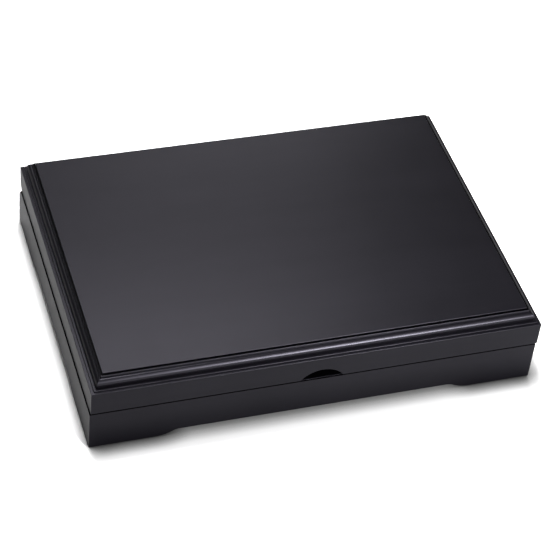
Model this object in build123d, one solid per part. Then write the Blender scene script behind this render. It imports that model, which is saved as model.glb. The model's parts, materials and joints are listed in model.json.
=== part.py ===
from build123d import *
from math import acos, degrees, floor, radians, sin, tan
import os

# A hinged wooden coin display case, in millimetres. X runs along the case, Y towards its
# hinged back and Z up. The origin is on the table, under the middle of the case.

# Outside of the case
case_width = 305.0
case_depth = 221.0
seam_height = 32.0        # middle of the gap between base and lid, above the table
seam_gap = 0.4
lid_side_height = 17.9    # from the seam up to the arris under the moulding
edge_ease = 0.3           # radius sanded on every outer edge

# Base
base_wall = 14.0
pad_thickness = 0.8
pad_diameter = 11.0
pad_inset = 10.0          # from the outer faces to a pad's centre
foot_length = 60.0        # from a corner to where the apron runs level
apron_lift = 4.2          # rise of the apron above the soles of the feet
foot_round = 24.0         # radius of the ogee at the foot
apron_round = 10.0        # radius of the ogee at the apron
panel_thickness = 3.0
panel_clear_of_apron = 2.5
groove_depth = 5.0
groove_slack = 0.25       # room for the panel to swell, at the groove's bottom
block_leg = 24.0          # corner block, along each wall

# Lining and coin tray
liner_thickness = 2.0
liner_rise = 4.0          # how far the liners stand above the seam
liner_clearance = 0.9     # between the liners and the lid's walls, with the lid in the middle
cleat_width = 6.0
cleat_height = 6.0
tray_clearance = 0.8      # all round the tray
backing_thickness = 2.5
tray_thickness = 8.0
well_diameter = 46.6
well_web = 6.0            # least wood between two wells side by side
finger_diameter = 15.0
finger_reach = 4.0        # how far a finger notch runs out past its well
ribbon_width = 12.0
ribbon_thickness = 0.5
ribbon_lap = 22.0         # ribbon lying on the tray

# Lid
lid_shift = 0.7           # the lid sits this far to the right of the base
step_inset = 2.0          # foot of the moulding, in from the lid's side
step_rise = 0.75
bead_inset = 7.1          # the bead's centre, in from the lid's side
bead_lift = 3.04          # the bead's centre above the lid's side
bead_radius = 3.2
bead_undercut = 25.0      # how far the bead turns back under itself, in degrees
crown_rise = 1.76         # small square step over the bead
quirk_run = 1.6
quirk_rise = 1.2
notch_width = 28.6
notch_height = 7.25
notch_offset = 1.6        # to the right of the base's middle
lining_board_thickness = 1.6
cushion_thickness = 7.5
cushion_clearance = 0.6
cushion_round = 2.0

# Hinges, their screws and the magnets
hinge_inset = 4.8         # hinge axis, in from the back face
lid_bevel = 51.0          # slope of the lid's back edge, in degrees
base_bevel = 50.0
hinge_length = 30.0
hinge_from_end = 57.5     # from the case's end to a hinge's middle
knuckle_radius = 1.8
knuckle_count = 5
knuckle_relief = 0.3
knuckle_end_gap = 0.1
pin_radius = 0.9
pin_clearance = 0.03
leaf_thickness = 0.8
leaf_reach = 7.4          # from the hinge axis to the leaf's far edge
leaf_gap = 0.1            # between the two closed leaves
mortise_slack = 0.15
screw_spacing = 18.0
screw_head_radius = 1.6
screw_shank_radius = 0.8
screw_length = 8.0
screw_slot_width = 0.4
screw_slot_depth = 0.35
magnet_radius = 3.0
magnet_thickness = 2.5
magnet_gap = 0.05
magnet_from_end = 62.5

# Heights and places that follow from the sizes above
half_width = case_width / 2
half_depth = case_depth / 2
base_top = seam_height - seam_gap / 2
lid_bottom = seam_height + seam_gap / 2
lid_arris = seam_height + lid_side_height
lid_wall = base_wall - liner_clearance
hinge_y = half_depth - hinge_inset
panel_bottom = pad_thickness + apron_lift + panel_clear_of_apron
panel_top = panel_bottom + panel_thickness
cleat_top = panel_top + cleat_height
backing_top = cleat_top + backing_thickness
tray_top = backing_top + tray_thickness
liner_top = seam_height + liner_rise
inner_width = case_width - 2 * base_wall
inner_depth = case_depth - 2 * base_wall
lined_width = inner_width - 2 * liner_thickness
lined_depth = inner_depth - 2 * liner_thickness
tray_width = lined_width - 2 * tray_clearance
tray_depth = lined_depth - 2 * tray_clearance
past = 2 * base_wall      # how far a cutting tool runs past the faces it cuts


def block(x_low, x_high, y_low, y_high, z_low, z_high):
    """A box between six given faces."""
    centre = ((x_low + x_high) / 2, (y_low + y_high) / 2, (z_low + z_high) / 2)
    return Pos(*centre) * Box(x_high - x_low, y_high - y_low, z_high - z_low)


def slab(width, depth, z_low, z_high, middle=0.0):
    """A box between two heights, centred on the case or on another middle along X."""
    return block(middle - width / 2, middle + width / 2, -depth / 2, depth / 2, z_low, z_high)


def prism_along_x(points, length):
    """A polygon in the YZ plane, stretched along X to both sides of the middle."""
    face = Plane.YZ * make_face(Polyline(*points, close=True))
    return extrude(face, length / 2, both=True)


def prism_up(points, z_low, z_high):
    """A polygon seen from above, stretched between two heights."""
    face = make_face(Polyline(*points, close=True))
    return Pos(0, 0, z_low) * extrude(face, z_high - z_low)


def rod_along_x(radius, length, x, y, z):
    return Pos(x, y, z) * Rot(0, 90, 0) * Cylinder(radius, length)


def save(name, *solids):
    """One node: a single solid, or several alike as one group."""
    shape = solids[0] if len(solids) == 1 else Compound([s.solid() for s in solids])
    export_step(shape, f"parts/{name}.step")


def mitred_rails(ring, middle, wall, z_low, z_high):
    """Cuts a ring of four walls, with its middle along X given, at its mitres into its four rails."""
    out_x, out_y = half_width + past, half_depth + past
    reach = wall + edge_ease
    in_x, in_y = half_width - reach, half_depth - reach
    corner = {
        "front_left": [(-out_x, -out_y), (-in_x, -in_y)],
        "front_right": [(out_x, -out_y), (in_x, -in_y)],
        "back_left": [(-out_x, out_y), (-in_x, in_y)],
        "back_right": [(out_x, out_y), (in_x, in_y)],
    }
    ends = {
        "front": ("front_left", "front_right"),
        "back": ("back_left", "back_right"),
        "left": ("front_left", "back_left"),
        "right": ("front_right", "back_right"),
    }
    rails = {}
    for side, (first, last) in ends.items():
        points = corner[first] + corner[last][::-1]
        rails[side] = ring & Pos(middle, 0, 0) * prism_up(points, z_low - past, z_high + past)
    return rails


def apron_cutter(length):
    """The gap under a rail between its two feet: level, with an ogee at each end."""
    turn = acos(1 - apron_lift / (foot_round + apron_round))
    ogee_run = (foot_round + apron_round) * sin(turn)
    level_half = length / 2 - foot_length
    sole = pad_thickness
    rise = JernArc((-level_half - ogee_run, sole), (1, 0), foot_round, degrees(turn))
    level_out = JernArc(rise @ 1, rise % 1, apron_round, -degrees(turn))
    top = Line(level_out @ 1, (level_half, sole + apron_lift))
    right = [mirror(level_out, Plane.YZ), mirror(rise, Plane.YZ)]
    below = sole - past
    floor_line = Polyline(
        (level_half + ogee_run, sole),
        (level_half + ogee_run, below),
        (-level_half - ogee_run, below),
        (-level_half - ogee_run, sole),
    )
    return make_face([rise, level_out, top, *right, *floor_line.edges()])


def screw(x, y, z, up):
    """A countersunk slotted wood screw, its head's face at z and its point away from it."""
    head_height = leaf_thickness
    point_height = 2 * screw_shank_radius
    shank_height = screw_length - head_height - point_height
    head = Cone(screw_head_radius, screw_shank_radius, head_height)
    shank = Cylinder(screw_shank_radius, shank_height)
    point = Cone(screw_shank_radius, screw_shank_radius / 4, point_height)
    whole = Pos(0, 0, head_height / 2) * head
    whole += Pos(0, 0, head_height + shank_height / 2) * shank
    whole += Pos(0, 0, head_height + shank_height + point_height / 2) * point
    turned = whole if up else Rot(180, 0, 0) * whole
    return Pos(x, y, z) * turned


def slotted(plain_screw, x, y, z):
    """Cuts the driver's slot across a screw's head."""
    slot = Box(4 * screw_head_radius, screw_slot_width, 2 * screw_slot_depth)
    return plain_screw - Pos(x, y, z) * slot


def hinge_leaf(x, side):
    """One leaf with its knuckles: side is 1 for the lid's, above the seam, -1 for the base's."""
    face = seam_height + side * leaf_gap / 2
    back = face + side * leaf_thickness
    low, high = min(face, back), max(face, back)
    plate_edge = hinge_y - knuckle_radius - knuckle_relief
    leaf = block(x - hinge_length / 2, x + hinge_length / 2, hinge_y - leaf_reach, plate_edge, low, high)
    share = hinge_length / knuckle_count
    first = 0 if side < 0 else 1
    for index in range(first, knuckle_count, 2):
        middle = x - hinge_length / 2 + (index + 0.5) * share
        length = share - knuckle_end_gap
        leaf += rod_along_x(knuckle_radius, length, middle, hinge_y, seam_height)
        leaf += block(middle - length / 2, middle + length / 2, plate_edge, hinge_y, low, high)
    bore = pin_radius if side < 0 else pin_radius + pin_clearance
    leaf -= rod_along_x(bore, hinge_length + past, x, hinge_y, seam_height)
    return leaf


def hinge_recess(x, side):
    """What a rail loses for a hinge: the leaf's mortise and room for the knuckles."""
    deep = seam_height + side * (leaf_gap / 2 + leaf_thickness)
    far = seam_height - side * seam_gap
    half = hinge_length / 2 + mortise_slack
    near = hinge_y - leaf_reach - mortise_slack
    mortise = block(x - half, x + half, near, hinge_y, min(deep, far), max(deep, far))
    room = rod_along_x(knuckle_radius + knuckle_relief, 2 * half, x, hinge_y, seam_height)
    return mortise + room


hinge_places = [hinge_from_end - half_width, half_width - hinge_from_end]
screw_y = hinge_y - (leaf_reach + knuckle_radius + knuckle_relief) / 2
screw_places = [x + s * screw_spacing / 2 for x in hinge_places for s in (-1, 1)]
magnet_y = -half_depth + lid_wall / 2
magnet_places = [magnet_from_end - half_width, half_width - magnet_from_end]


def screws_of(side):
    """The four screws of the base's leaves or of the lid's, without their slots."""
    face = seam_height + side * leaf_gap / 2
    return [(x, screw_y, face, screw(x, screw_y, face, side > 0)) for x in screw_places]


def magnets_of(side):
    """The two magnets on one side of the seam."""
    middle = seam_height + side * (magnet_gap + magnet_thickness) / 2
    return [Pos(x, magnet_y, middle) * Cylinder(magnet_radius, magnet_thickness) for x in magnet_places]


def fittings_cut(ring, side):
    """Takes the hinges, screws and magnets out of a ring of rails."""
    for x in hinge_places:
        ring -= hinge_recess(x, side)
    for _, _, _, whole in screws_of(side):
        ring -= whole
    for magnet in magnets_of(side):
        ring -= magnet
    return ring


# Base: four mitred rails cut into bracket feet
base_ring = fillet(slab(case_width, case_depth, pad_thickness, base_top).edges(), edge_ease)
base_ring -= slab(inner_width, inner_depth, -past, base_top + past)
base_ring -= extrude(Plane.XZ * apron_cutter(case_width), case_depth, both=True)
base_ring -= extrude(Plane.YZ * apron_cutter(case_depth), case_width, both=True)
groove_width = inner_width + 2 * groove_depth
groove_length = inner_depth + 2 * groove_depth
base_ring -= slab(groove_width, groove_length, panel_bottom, panel_top)
base_fall = (hinge_inset + past) * tan(radians(base_bevel))
base_ring -= prism_along_x(
    [(hinge_y, base_top), (half_depth + past, base_top), (half_depth + past, base_top - base_fall)],
    case_width + past,
)
base_ring = fittings_cut(base_ring, -1)
for side_name, rail in mitred_rails(base_ring, 0, base_wall, 0, base_top).items():
    save(f"base_{side_name}_rail", rail)

panel_width = groove_width - 2 * groove_slack
panel_depth = groove_length - 2 * groove_slack
save("bottom_panel", slab(panel_width, panel_depth, panel_bottom, panel_top))

corners = [(sx, sy) for sx in (-1, 1) for sy in (-1, 1)]
blocks = []
pads = []
for sx, sy in corners:
    x, y = sx * inner_width / 2, sy * inner_depth / 2
    outline = [(x, y), (x - sx * block_leg, y), (x, y - sy * block_leg)]
    blocks.append(prism_up(outline, pad_thickness, panel_bottom))
    pad_at = Pos(sx * (half_width - pad_inset), sy * (half_depth - pad_inset), pad_thickness / 2)
    pads.append(pad_at * Cylinder(pad_diameter / 2, pad_thickness))
save("corner_blocks", *blocks)
save("felt_pads", *pads)

# Lining: four covered boards that stand proud of the seam and guide the lid
wall_x, wall_y = inner_width / 2, inner_depth / 2
end_x, side_y = wall_x - liner_thickness, wall_y - liner_thickness
save("liner_front", block(-wall_x, wall_x, -wall_y, -side_y, panel_top, liner_top))
save("liner_back", block(-wall_x, wall_x, side_y, wall_y, panel_top, liner_top))
save("liner_left", block(-wall_x, -end_x, -side_y, side_y, panel_top, liner_top))
save("liner_right", block(end_x, wall_x, -side_y, side_y, panel_top, liner_top))

cleat_y = side_y - cleat_width
cleat_x = end_x - cleat_width
save("cleat_front", block(-end_x, end_x, -side_y, -cleat_y, panel_top, cleat_top))
save("cleat_back", block(-end_x, end_x, cleat_y, side_y, panel_top, cleat_top))
save("cleat_left", block(-end_x, -cleat_x, -cleat_y, cleat_y, panel_top, cleat_top))
save("cleat_right", block(cleat_x, end_x, -cleat_y, cleat_y, panel_top, cleat_top))

# Coin tray: a board of round wells, each with two finger notches, on a thin backing
save("tray_backing", slab(tray_width, tray_depth, cleat_top, backing_top))


def evenly_spaced(length, size, least_web):
    """Centres of as many wells as fit in a length, with equal wood between and beside them."""
    count = max(1, floor((length - least_web) / (size + least_web)))
    web = (length - count * size) / (count + 1)
    return [-length / 2 + web + size / 2 + i * (size + web) for i in range(count)]


tray_board = slab(tray_width, tray_depth, backing_top, tray_top)
finger_from_well = well_diameter / 2 + finger_reach - finger_diameter / 2
notched_web = 2 * finger_reach + well_web / 2
for x in evenly_spaced(tray_width, well_diameter, well_web):
    for y in evenly_spaced(tray_depth, well_diameter, notched_web):
        well = Circle(well_diameter / 2)
        for s in (-1, 1):
            well += Pos(0, s * finger_from_well) * Circle(finger_diameter / 2)
        tray_board -= Pos(x, y, backing_top) * extrude(well, tray_thickness)
save("tray_board", tray_board)

for name, s in (("left", -1), ("right", 1)):
    outside = s * (tray_width / 2 + ribbon_thickness)
    tail = s * tray_width / 2
    inside = s * (tray_width / 2 - ribbon_lap)
    half = ribbon_width / 2
    ribbon_top = tray_top + ribbon_thickness
    lap = block(min(inside, outside), max(inside, outside), -half, half, tray_top, ribbon_top)
    lap += block(min(tail, outside), max(tail, outside), -half, half, cleat_top, tray_top)
    save(f"lift_ribbon_{name}", lap)

# Lid: four mitred rails under a moulded top panel
lid_ring = fillet(slab(case_width, case_depth, lid_bottom, lid_arris, lid_shift).edges(), edge_ease)
lid_inner_width = case_width - 2 * lid_wall
lid_inner_depth = case_depth - 2 * lid_wall
lid_ring -= slab(lid_inner_width, lid_inner_depth, lid_bottom - past, lid_arris + past, lid_shift)
lid_rise = (hinge_inset + past) * tan(radians(lid_bevel))
lid_ring -= prism_along_x(
    [(hinge_y, lid_bottom), (half_depth + past, lid_bottom), (half_depth + past, lid_bottom + lid_rise)],
    case_width + past,
)
notch_radius = (notch_width**2 / 4 + notch_height**2) / (2 * notch_height)
notch_centre = lid_bottom + notch_height - notch_radius
notch = Pos(notch_offset, -half_depth, notch_centre) * Rot(90, 0, 0) * Cylinder(notch_radius, 2 * past)
lid_ring -= notch
lid_ring = fittings_cut(lid_ring, 1)
for side_name, rail in mitred_rails(lid_ring, lid_shift, lid_wall, lid_bottom, lid_arris).items():
    save(f"lid_{side_name}_rail", rail)


def moulded_section(size):
    """The top panel cut across: a step, a bead under a square crown and a quirk along each edge."""
    foot = size / 2 - step_inset
    bead_x = size / 2 - bead_inset
    bead_z = lid_arris + bead_lift
    field = bead_x - quirk_run
    z_step = lid_arris + step_rise
    z_crown = bead_z + bead_radius + crown_rise
    z_top = z_crown + quirk_rise
    bead = CenterArc((bead_x, bead_z), bead_radius, -bead_undercut, 90 + bead_undercut)
    fascia = (bead @ 0).X
    below = Polyline((0, lid_arris), (foot, lid_arris), (foot, z_step), (fascia, z_step), bead @ 0)
    crown = Polyline(bead @ 1, (bead_x, z_crown), (field, z_crown))
    above = Polyline((field, z_crown), (field, z_top), (0, z_top))
    half = [*below.edges(), bead, *crown.edges(), *above.edges()]
    return make_face(half + [mirror(edge, Plane.YZ) for edge in half])


along_x = extrude(Plane.YZ * moulded_section(case_depth), half_width, both=True)
along_y = extrude(Plane.XZ * moulded_section(case_width), half_depth, both=True)
save("lid_top_panel", Pos(lid_shift, 0, 0) * (along_x & along_y))

board_bottom = lid_arris - lining_board_thickness
board_width = lid_inner_width - 2 * cushion_clearance
board_depth = lid_inner_depth - 2 * cushion_clearance
save("lid_lining_board", slab(board_width, board_depth, board_bottom, lid_arris, lid_shift))
cushion = slab(board_width, board_depth, board_bottom - cushion_thickness, board_bottom, lid_shift)
rounded = cushion.edges().filter_by(Axis.Z) + cushion.faces().sort_by(Axis.Z)[0].edges()
save("lid_cushion", fillet(rounded, cushion_round))

# Hinges, screws and magnets
for name, x in zip(("left", "right"), hinge_places):
    for owner, side in (("base", -1), ("lid", 1)):
        leaf = hinge_leaf(x, side)
        for _, _, _, whole in screws_of(side):
            leaf -= whole
        save(f"hinge_{owner}_leaf_{name}", leaf)
    save(f"hinge_pin_{name}", rod_along_x(pin_radius, hinge_length, x, hinge_y, seam_height))
for owner, side in (("base", -1), ("lid", 1)):
    save(f"hinge_{owner}_screws", *[slotted(whole, x, y, z) for x, y, z, whole in screws_of(side)])
    save(f"{owner}_magnets", *magnets_of(side))
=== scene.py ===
import json
import math
import bmesh
import bpy
from mathutils import Matrix, Vector


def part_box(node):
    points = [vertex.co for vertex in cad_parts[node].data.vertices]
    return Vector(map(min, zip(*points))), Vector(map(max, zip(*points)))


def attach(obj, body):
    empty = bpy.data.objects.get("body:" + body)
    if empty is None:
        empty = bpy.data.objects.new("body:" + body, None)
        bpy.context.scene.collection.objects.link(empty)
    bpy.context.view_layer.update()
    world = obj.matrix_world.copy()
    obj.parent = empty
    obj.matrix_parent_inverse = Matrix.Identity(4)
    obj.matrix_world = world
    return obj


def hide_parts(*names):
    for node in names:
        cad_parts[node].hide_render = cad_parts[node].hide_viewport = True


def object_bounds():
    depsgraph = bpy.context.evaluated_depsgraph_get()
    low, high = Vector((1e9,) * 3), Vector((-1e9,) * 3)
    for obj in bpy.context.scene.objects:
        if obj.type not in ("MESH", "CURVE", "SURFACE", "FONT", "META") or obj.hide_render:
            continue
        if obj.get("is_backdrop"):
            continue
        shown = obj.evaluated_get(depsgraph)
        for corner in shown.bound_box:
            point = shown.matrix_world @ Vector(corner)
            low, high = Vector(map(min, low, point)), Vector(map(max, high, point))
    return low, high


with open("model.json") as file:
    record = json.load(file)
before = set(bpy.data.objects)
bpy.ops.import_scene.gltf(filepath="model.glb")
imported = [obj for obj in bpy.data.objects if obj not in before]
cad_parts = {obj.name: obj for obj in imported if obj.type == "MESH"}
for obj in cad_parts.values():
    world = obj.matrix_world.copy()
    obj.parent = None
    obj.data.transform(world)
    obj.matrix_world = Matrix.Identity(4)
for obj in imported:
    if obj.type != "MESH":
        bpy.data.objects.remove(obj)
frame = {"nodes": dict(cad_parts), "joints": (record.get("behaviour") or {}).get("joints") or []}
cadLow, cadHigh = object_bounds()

mm = 0.001
scene = bpy.context.scene
nodes = frame["nodes"]
hinge = frame["joints"][0]
hingeY, seamZ = hinge["pos_m"][1], hinge["pos_m"][2]
halfWidth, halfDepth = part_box("base_front_rail")[1].x, cadHigh.y
lidMiddle = sum(corner.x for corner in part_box("lid_front_rail")) / 2
print("frame loaded:", len(nodes), "nodes")


# Finishes. A pattern's scale is per metre, on Object coordinates. In the dictionaries a noise is its scale,
# detail, roughness and distortion, a bump its distance and strength, a grain its scale across and along.
def startFinish(name):
    finish = bpy.data.materials.new(name)
    finish.use_nodes = True
    tree = finish.node_tree
    place = tree.nodes.new("ShaderNodeTexCoord")
    return finish, tree, tree.nodes["Principled BSDF"], place.outputs["Object"]


def setShader(shader, values):
    for socket, value in values.items():
        shader.inputs[socket].default_value = value


def stretched(tree, source, scale):
    mapping = tree.nodes.new("ShaderNodeMapping")
    mapping.inputs["Scale"].default_value = scale
    tree.links.new(source, mapping.inputs["Vector"])
    return mapping.outputs["Vector"]


def grained(tree, source, grain, across, along):
    # grain is the long way of the wood or of the pile: 0 along X, 1 along Y
    scale = [across] * 3
    scale[grain] = along
    return stretched(tree, source, scale)


def noiseOf(tree, source, scale, detail=4.0, roughness=0.5, distortion=0.0):
    noise = tree.nodes.new("ShaderNodeTexNoise")
    setShader(noise, {"Scale": scale, "Detail": detail, "Roughness": roughness, "Distortion": distortion})
    tree.links.new(source, noise.inputs["Vector"])
    return noise.outputs["Fac"]


def ranged(tree, source, low, high, fromLow=0.0, fromHigh=1.0):
    node = tree.nodes.new("ShaderNodeMapRange")
    setShader(node, {"From Min": fromLow, "From Max": fromHigh, "To Min": low, "To Max": high})
    tree.links.new(source, node.inputs["Value"])
    return node.outputs["Result"]


def mixed(tree, factor, first, second):
    # from a plain level to what a socket gives
    node = tree.nodes.new("ShaderNodeMix")
    node.inputs["A"].default_value = first
    tree.links.new(factor, node.inputs["Factor"])
    tree.links.new(second, node.inputs["B"])
    return node.outputs["Result"]


def colours(tree, source, low, high, fromLow=0.0, fromHigh=1.0):
    node = tree.nodes.new("ShaderNodeMix")
    node.data_type = "RGBA"
    tree.links.new(ranged(tree, source, 0.0, 1.0, fromLow, fromHigh), node.inputs["Factor"])
    node.inputs[6].default_value = (*low, 1.0)  # the colour sockets A and B
    node.inputs[7].default_value = (*high, 1.0)
    return node.outputs[2]


def mathOf(tree, operation, first, second):
    node = tree.nodes.new("ShaderNodeMath")
    node.operation = operation
    for socket, value in zip(node.inputs, (first, second)):
        if isinstance(value, (int, float)):
            socket.default_value = value
        else:
            tree.links.new(value, socket)
    return node.outputs[0]


def bumpOf(tree, shader, height, distance, strength=1.0, before=None):
    bump = tree.nodes.new("ShaderNodeBump")
    setShader(bump, {"Strength": strength, "Distance": distance})
    tree.links.new(height, bump.inputs["Height"])
    if before is not None:
        tree.links.new(before, bump.inputs["Normal"])
    tree.links.new(bump.outputs["Normal"], shader.inputs["Normal"])
    return bump.outputs["Normal"]


lacquerLook = {
    "deep": (0.0040, 0.0036, 0.0052),
    "worn": (0.0085, 0.0080, 0.0108),
    "toneRange": (0.12, 0.42),
    "cloud": (9.0, 3.0),
    "figureGrain": (26.0, 3.0),
    "figure": (1.0, 5.0, 0.55, 0.6),
    "poreGrain": (220.0, 9.0),
    "pores": (6.0, 2.0, 0.6),
    "orangePeel": (420.0, 2.0),
    "smear": (90.0, 6.0, 0.62),
    "smearRange": (0.3, 0.7),
    "rough": (0.285, 0.315),
    "edgeRough": (0.27, 0.30),
    "peelBump": (0.02 * mm, 0.25),
    "poreBump": (0.03 * mm, 0.2),
    "ior": 1.32,
    "tint": (0.87, 0.83, 1.0, 1.0),
}


def lacquer(name, grain, edge=False, specular=0.5, paintedShadeFactor=1.0):
    look = lacquerLook
    finish, tree, shader, place = startFinish(name)
    cloud = noiseOf(tree, place, *look["cloud"])
    figure = noiseOf(tree, grained(tree, place, grain, *look["figureGrain"]), *look["figure"])
    pores = noiseOf(tree, grained(tree, place, grain, *look["poreGrain"]), *look["pores"])
    orangePeel = noiseOf(tree, place, *look["orangePeel"])
    tone = mathOf(tree, "MULTIPLY", cloud, figure)
    # a factor under 1 paints shade: it darkens both colours
    deep, worn = ([level * paintedShadeFactor for level in look[end]] for end in ("deep", "worn"))
    tree.links.new(colours(tree, tone, deep, worn, *look["toneRange"]), shader.inputs["Base Color"])
    smear = noiseOf(tree, place, *look["smear"])
    rough = ranged(tree, smear, *look["edgeRough" if edge else "rough"], *look["smearRange"])
    tree.links.new(rough, shader.inputs["Roughness"])
    peel = bumpOf(tree, shader, orangePeel, *look["peelBump"])
    bumpOf(tree, shader, pores, *look["poreBump"], peel)
    setShader(shader, {"IOR": look["ior"], "Specular IOR Level": specular, "Specular Tint": look["tint"]})
    return finish


velvetLook = {
    "colours": ((0.0085, 0.0085, 0.0100), (0.0160, 0.0160, 0.0185)),
    "napGrain": (60.0, 14.0),
    "strokes": (1.0, 4.0, 0.6, 0.8),
    "strokeRange": (0.3, 0.7),
    "pile": (2600.0, 1.0),
    "pileBump": (0.10 * mm, 0.5),
    "rough": (0.78, 0.95),
    "sheen": (0.35, 0.75),
    "even": {"Specular IOR Level": 0.15, "Sheen Roughness": 0.35, "Sheen Tint": (0.42, 0.42, 0.5, 1.0)},
}


def velvet(name, nap):
    # nap is the way that the pile is brushed
    look = velvetLook
    finish, tree, shader, place = startFinish(name)
    strokes = noiseOf(tree, grained(tree, place, nap, *look["napGrain"]), *look["strokes"])
    pile = noiseOf(tree, place, *look["pile"])
    tone = colours(tree, strokes, *look["colours"], *look["strokeRange"])
    tree.links.new(tone, shader.inputs["Base Color"])
    tree.links.new(ranged(tree, strokes, *look["rough"]), shader.inputs["Roughness"])
    sheen = ranged(tree, strokes, *look["sheen"], *look["strokeRange"])
    tree.links.new(sheen, shader.inputs["Sheen Weight"])
    bumpOf(tree, shader, pile, *look["pileBump"])
    setShader(shader, look["even"])
    return finish


woodLook = {
    "colours": ((0.26, 0.17, 0.095), (0.47, 0.34, 0.21)),
    "toneRange": (0.3, 0.7),
    "ringGrain": (90.0, 5.0),
    "rings": (1.0, 4.0, 0.55, 1.2),
    "ringShare": 0.7,
    "fibreGrain": (900.0, 40.0),
    "fibres": (1.0, 2.0, 0.6),
    "fibreShare": 0.3,
    "fibreBump": (0.08 * mm, 0.5),
    "rough": (0.62, 0.82),
    "even": {"Specular IOR Level": 0.3},
}


def wood(name, grain):
    look = woodLook
    finish, tree, shader, place = startFinish(name)
    rings = noiseOf(tree, grained(tree, place, grain, *look["ringGrain"]), *look["rings"])
    fibres = noiseOf(tree, grained(tree, place, grain, *look["fibreGrain"]), *look["fibres"])
    ringPart = mathOf(tree, "MULTIPLY", rings, look["ringShare"])
    fibrePart = mathOf(tree, "MULTIPLY", fibres, look["fibreShare"])
    tone = mathOf(tree, "ADD", ringPart, fibrePart)
    tree.links.new(colours(tree, tone, *look["colours"], *look["toneRange"]), shader.inputs["Base Color"])
    tree.links.new(ranged(tree, fibres, *look["rough"]), shader.inputs["Roughness"])
    bumpOf(tree, shader, fibres, *look["fibreBump"])
    setShader(shader, look["even"])
    return finish


speckLook = {
    # the two noises' scales are shares of one over the specks' size
    "specks": (1.0, 5.0, 0.65, 1.5),
    "speckRange": (0.32, 0.68),
    "fluffStretch": (1.0, 0.35, 1.0),
    "fluff": (3.0, 3.0, 0.6),
    "fluffBump": (0.12 * mm, 0.5),
    "smoother": 0.1,
    "rougher": 0.05,
    "even": {"Specular IOR Level": 0.25, "Sheen Roughness": 0.5},
}


def speckled(name, low, high, size, rough, sheen=0.0):
    # pressed fibres: the bottom board, the lid's inner board and the felt pads
    look = speckLook
    finish, tree, shader, place = startFinish(name)
    speckScale, *speckRest = look["specks"]
    fluffScale, *fluffRest = look["fluff"]
    specks = noiseOf(tree, place, speckScale / size, *speckRest)
    fluff = noiseOf(tree, stretched(tree, place, look["fluffStretch"]), fluffScale / size, *fluffRest)
    tree.links.new(colours(tree, specks, low, high, *look["speckRange"]), shader.inputs["Base Color"])
    roughness = ranged(tree, specks, rough - look["smoother"], rough + look["rougher"])
    tree.links.new(roughness, shader.inputs["Roughness"])
    bumpOf(tree, shader, fluff, *look["fluffBump"])
    setShader(shader, {**look["even"], "Sheen Weight": sheen})
    return finish


metalLook = {
    "scratchGrain": 2400.0,
    "scratches": (1.0, 3.0, 0.6),
    "stain": (260.0, 4.0),
    "blendRange": (0.3, 0.7),
    "scratchBump": (0.015 * mm, 0.35),
    "even": {"Metallic": 1.0},
}


def metal(name, low, high, rough, brushing):
    # brushing is how far the fine scratches are drawn out along X
    look = metalLook
    finish, tree, shader, place = startFinish(name)
    brushed = grained(tree, place, 0, look["scratchGrain"], brushing)
    scratches = noiseOf(tree, brushed, *look["scratches"])
    stain = noiseOf(tree, place, *look["stain"])
    tree.links.new(colours(tree, stain, low, high, *look["blendRange"]), shader.inputs["Base Color"])
    halves = [mathOf(tree, "MULTIPLY", pattern, 0.5) for pattern in (scratches, stain)]
    roughness = ranged(tree, mathOf(tree, "ADD", *halves), *rough, *look["blendRange"])
    tree.links.new(roughness, shader.inputs["Roughness"])
    bumpOf(tree, shader, scratches, *look["scratchBump"])
    setShader(shader, look["even"])
    return finish


satinLook = {
    "colours": ((0.024, 0.023, 0.026), (0.033, 0.032, 0.036)),
    "threadStretch": (2600.0, 180.0, 400.0),
    "threads": (1.0, 2.0),
    "threadBump": (0.03 * mm, 0.4),
    "slubStretch": (110.0, 8.0, 30.0),
    "slubs": (1.0, 3.0),
    "dimpleStretch": (34.0, 20.0, 26.0),
    "dimples": (1.0, 2.0, 0.4, 0.5),
    "dimpleBump": (1.6 * mm, 0.6),
    "range": (0.3, 0.7),
    "rough": (0.36, 0.50),
    "even": {"Sheen Weight": 0.2, "Sheen Roughness": 0.3, "Specular IOR Level": 0.6},
}


def satin(name):
    look = satinLook
    finish, tree, shader, place = startFinish(name)
    threads = noiseOf(tree, stretched(tree, place, look["threadStretch"]), *look["threads"])
    slubs = noiseOf(tree, stretched(tree, place, look["slubStretch"]), *look["slubs"])
    dimples = noiseOf(tree, stretched(tree, place, look["dimpleStretch"]), *look["dimples"])
    tone = colours(tree, slubs, *look["colours"], *look["range"])
    tree.links.new(tone, shader.inputs["Base Color"])
    rough = ranged(tree, threads, *look["rough"], *look["range"])
    tree.links.new(rough, shader.inputs["Roughness"])
    dimpled = bumpOf(tree, shader, dimples, *look["dimpleBump"])
    bumpOf(tree, shader, threads, *look["threadBump"], dimpled)
    setShader(shader, look["even"])
    return finish


grosgrainLook = {
    "colours": ((0.012, 0.012, 0.0135), (0.027, 0.027, 0.030)),
    "ribs": {"Scale": 225.0, "Distortion": 0.3, "Detail": 1.0, "Detail Scale": 3.0},
    "ribBump": (0.14 * mm, 0.9),
    "threadStretch": (5200.0, 700.0, 1.0),
    "threads": (1.0, 2.0),
    "threadBump": (0.03 * mm, 0.4),
    "rough": (0.45, 0.7),
    "even": {"Sheen Weight": 0.25, "Sheen Roughness": 0.4},
}


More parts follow.
